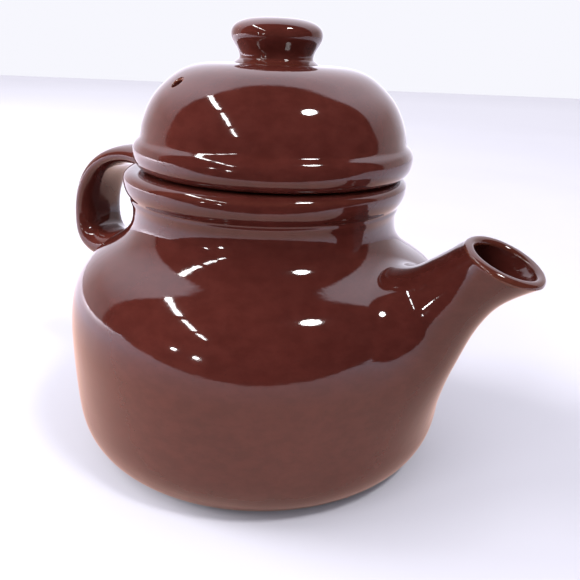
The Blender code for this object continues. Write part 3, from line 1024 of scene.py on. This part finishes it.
def make_floor_cup(mats):
    """Cup that closes the wall's lower end, with a field of small round holes."""
    low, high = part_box("infuser_floor")
    outer = (high.x - low.x) / 2
    flat, disc, loops, rim = holed_disc(outer - FLOOR_BORDER)
    verts, faces = two_sided(flat, disc, loops, lambda x, y, side: (x, y, low.z + SHEET * side))
    angles = [2.0 * np.pi * k / FLOOR_SIDES for k in range(FLOOR_SIDES)]
    rings = [rim]
    for r, z in cup_section(outer, low.z, high.z):
        rings.append(range(len(verts), len(verts) + FLOOR_SIDES))
        verts += [(r * cos(a), r * sin(a), z) for a in angles]
    rings.append([i + len(flat) for i in rim])
    for first, second in zip(rings, rings[1:]):
        for k in range(FLOOR_SIDES):
            m = (k + 1) % FLOOR_SIDES
            faces.append((first[k], first[m], second[m], second[k]))
    cup = make_piece("basket_floor", verts, faces, mats)
    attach(cup, "infuser")
    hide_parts("infuser_floor")


# ---------------------------------------------------------------- stage, light and camera

TABLE_FRONT = 0.24      # from the pot's middle to the edge of the lit table, towards the camera
TABLE_REACH = 1.6       # how far the lit table goes to the sides and to the back
FLOOR_REACH = 3.0
CEILING = 2.0           # over the part of the glaze that mirrors the tubes
MIRROR_HEIGHT = 0.1     # height of that part of the glaze
TUBE_ROW = ((-0.65, -0.27), (0.10, -1.96))  # the row of tubes, for a ceiling one unit up
TUBE_LENGTH = 1.10
TUBE_GAP = 0.34
TUBE_WIDTH = 0.15
TUBE_POWER = 26.0
SLAB = 0.004
LAMP_CENTRE = (0.0, 0.0, 0.09)
# Name, bearing and height angle in degrees, distance and size in metres, power in watts, shape.
PENDANT = ("pendant", -11.0, 56.0, 1.6, (0.30, 0.24), 14.0, "ELLIPSE")
FILL = ("fill_left", -158.0, 10.0, 1.5, (0.7, 0.5), 42.0, "RECTANGLE")
SPOT_LEFT = ("spot_left", -100.0, 3.0, 1.6, (0.10, 0.06), 1.2, "ELLIPSE")
SPOT_RIGHT = ("spot_right", -87.0, -2.0, 1.6, (0.10, 0.06), 1.2, "ELLIPSE")

# Colours of the surroundings. The last is what every ray but a mirror ray meets.
ROOM_DARK = (0.020, 0.014, 0.012)
ROOM_PALE = (0.085, 0.065, 0.055)
WHITE_BESIDE = (1.0, 0.86, 0.88)
WHITE_BEHIND = (1.6, 1.55, 1.8)
WHITE_OVER = (2.5, 2.35, 2.65)
WHITE_SOFT = (0.93, 0.93, 0.99)


def slab(name, corners, mat):
    """Thin flat slab whose top lies at the height zero."""
    top = [(x, y, 0.0) for x, y in corners]
    bottom = [(x, y, -SLAB) for x, y in corners]
    sides = [(0, 1, 5, 4), (1, 2, 6, 5), (2, 3, 7, 6), (3, 0, 4, 7)]
    return make_piece(name, top + bottom, [(0, 1, 2, 3), (7, 6, 5, 4), *sides], [mat])


def make_stage():
    """Pale floor. Only its part behind and beside the pot shows in the pot's glaze."""
    pale = floor_material()
    bearing = radians(CAMERA_HEADING)
    ahead = np.array([cos(bearing), sin(bearing)])
    aside = np.array([sin(bearing), -cos(bearing)])
    for name, near, far, left, right in (
            ("floor_table", -TABLE_FRONT, TABLE_REACH, -TABLE_REACH, TABLE_REACH),
            ("floor_front", -FLOOR_REACH, -TABLE_FRONT, -FLOOR_REACH, FLOOR_REACH),
            ("floor_back", TABLE_REACH, FLOOR_REACH, -FLOOR_REACH, FLOOR_REACH),
            ("floor_left", -TABLE_FRONT, TABLE_REACH, -FLOOR_REACH, -TABLE_REACH),
            ("floor_right", -TABLE_FRONT, TABLE_REACH, TABLE_REACH, FLOOR_REACH)):
        corners = [tuple(ahead * a + aside * b) for a, b in
                   ((near, left), (near, right), (far, right), (far, left))]
        part = slab(name, corners, pale)
        part.visible_glossy = name == "floor_table"


def add_lamp(name, place, size, power, shape):
    """Panel light that the camera doesn't see. It shines down until it is turned."""
    lamp = bpy.data.lights.new(name, "AREA")
    lamp.shape = shape
    lamp.size, lamp.size_y = size
    lamp.energy = power
    light = bpy.data.objects.new(name, lamp)
    light.location = place
    light.visible_camera = False
    bpy.context.scene.collection.objects.link(light)
    return light


def add_aimed(name, bearing, height, distance, size, power, shape):
    """Light at a bearing and height angle from the pot, turned towards it."""
    b = radians(bearing)
    h = radians(height)
    away = Vector((cos(b) * cos(h), sin(b) * cos(h), sin(h)))
    light = add_lamp(name, Vector(LAMP_CENTRE) + away * distance, size, power, shape)
    light.rotation_mode = "QUATERNION"
    light.rotation_quaternion = away.to_track_quat("Z", "Y")
    return light


def make_tubes():
    """Row of three tubes on the ceiling, which the glaze mirrors as a broken streak."""
    start = Vector((*TUBE_ROW[0], 0.0)) * CEILING
    end = Vector((*TUBE_ROW[1], 0.0)) * CEILING
    along = (end - start).normalized()
    bearing = atan2(along.y, along.x)
    for k in range(3):
        middle = start + along * (TUBE_LENGTH / 2 + k * (TUBE_LENGTH + TUBE_GAP))
        place = (middle.x, middle.y, CEILING + MIRROR_HEIGHT)
        tube = add_lamp(f"tube_{k}", place, (TUBE_LENGTH, TUBE_WIDTH), TUBE_POWER, "RECTANGLE")
        tube.rotation_euler = (0.0, 0.0, bearing)


def make_world():
    """White surroundings behind the pot and over it, and a dim room on the camera's side.

    Only mirror rays meet the dim room. The camera and soft light see the surroundings white.
    """
    world = bpy.data.worlds.new("surroundings")
    bpy.context.scene.world = world
    world.use_nodes = True
    nodes = Nodes(world.node_tree)
    background = world.node_tree.nodes["Background"]
    towards = nodes.add("ShaderNodeTexCoord").outputs["Generated"]
    front = nodes.add("ShaderNodeVectorMath", operation="DOT_PRODUCT")
    nodes.link(towards, front.inputs[0])
    bearing = radians(CAMERA_HEADING)
    front.inputs[1].default_value = (cos(bearing), sin(bearing), 0.0)
    white_side = nodes.span(front.outputs["Value"], 0.0, 1.0, 0.13, 0.17)
    clutter = nodes.noise(towards, 4.0, 4.0)
    room = nodes.ramp(clutter, [(0.35, ROOM_DARK), (0.7, ROOM_PALE)])
    height = nodes.add("ShaderNodeSeparateXYZ")
    nodes.link(towards, height.inputs[0])
    over = nodes.span(height.outputs["Z"], 0.0, 1.0, 0.3, 0.8)
    behind = nodes.span(front.outputs["Value"], 0.0, 1.0, 0.6, 0.95)
    low = nodes.mix(behind, WHITE_BESIDE, WHITE_BEHIND)
    white = nodes.mix(over, low, WHITE_OVER)
    surroundings = nodes.mix(white_side, room, white)
    path = nodes.add("ShaderNodeLightPath")
    seen = nodes.mix(path.outputs["Is Glossy Ray"], WHITE_SOFT, surroundings)
    nodes.link(seen, background.inputs["Color"])
    background.inputs["Strength"].default_value = 1.0


def make_lights():
    """Tubes, a pendant and two spots that the glaze mirrors, and a fill light that it doesn't."""
    make_tubes()
    add_aimed(*PENDANT)
    fill = add_aimed(*FILL)
    fill.visible_glossy = False
    add_aimed(*SPOT_LEFT)
    add_aimed(*SPOT_RIGHT)


def make_camera():
    """The photograph's viewpoint."""
    heading = radians(CAMERA_HEADING)
    pitch = radians(CAMERA_PITCH)
    roll = radians(CAMERA_ROLL)
    forward = Vector((cos(heading) * cos(pitch), sin(heading) * cos(pitch), -sin(pitch)))
    level = Vector((sin(heading), -cos(heading), 0.0))
    over = level.cross(forward)
    right = level * cos(roll) + over * sin(roll)
    up = over * cos(roll) - level * sin(roll)
    data = bpy.data.cameras.new("camera")
    data.lens = CAMERA_LENS
    data.sensor_width = 36.0
    camera = bpy.data.objects.new("camera", data)
    turn = camera.matrix_world.to_3x3()
    turn.col[0] = right
    turn.col[1] = up
    turn.col[2] = -forward
    camera.matrix_world = turn.to_4x4()
    camera.location = CAMERA_PLACE
    bpy.context.scene.collection.objects.link(camera)
    bpy.context.scene.camera = camera


def main():
    bpy.context.scene.view_settings.view_transform = "Standard"
    glaze = glaze_material()
    clay = clay_material()
    steel = steel_material()
    make_camera()
    outline = make_pot([glaze, clay])
    surface = Surface(outline)
    make_spout(surface, [glaze])
    make_handle(surface, [glaze])
    make_lid([glaze, clay])
    make_knob([glaze])
    make_rim([steel])
    make_wall([steel])
    make_floor_cup([steel])
    make_stage()
    make_world()
    make_lights()


main()
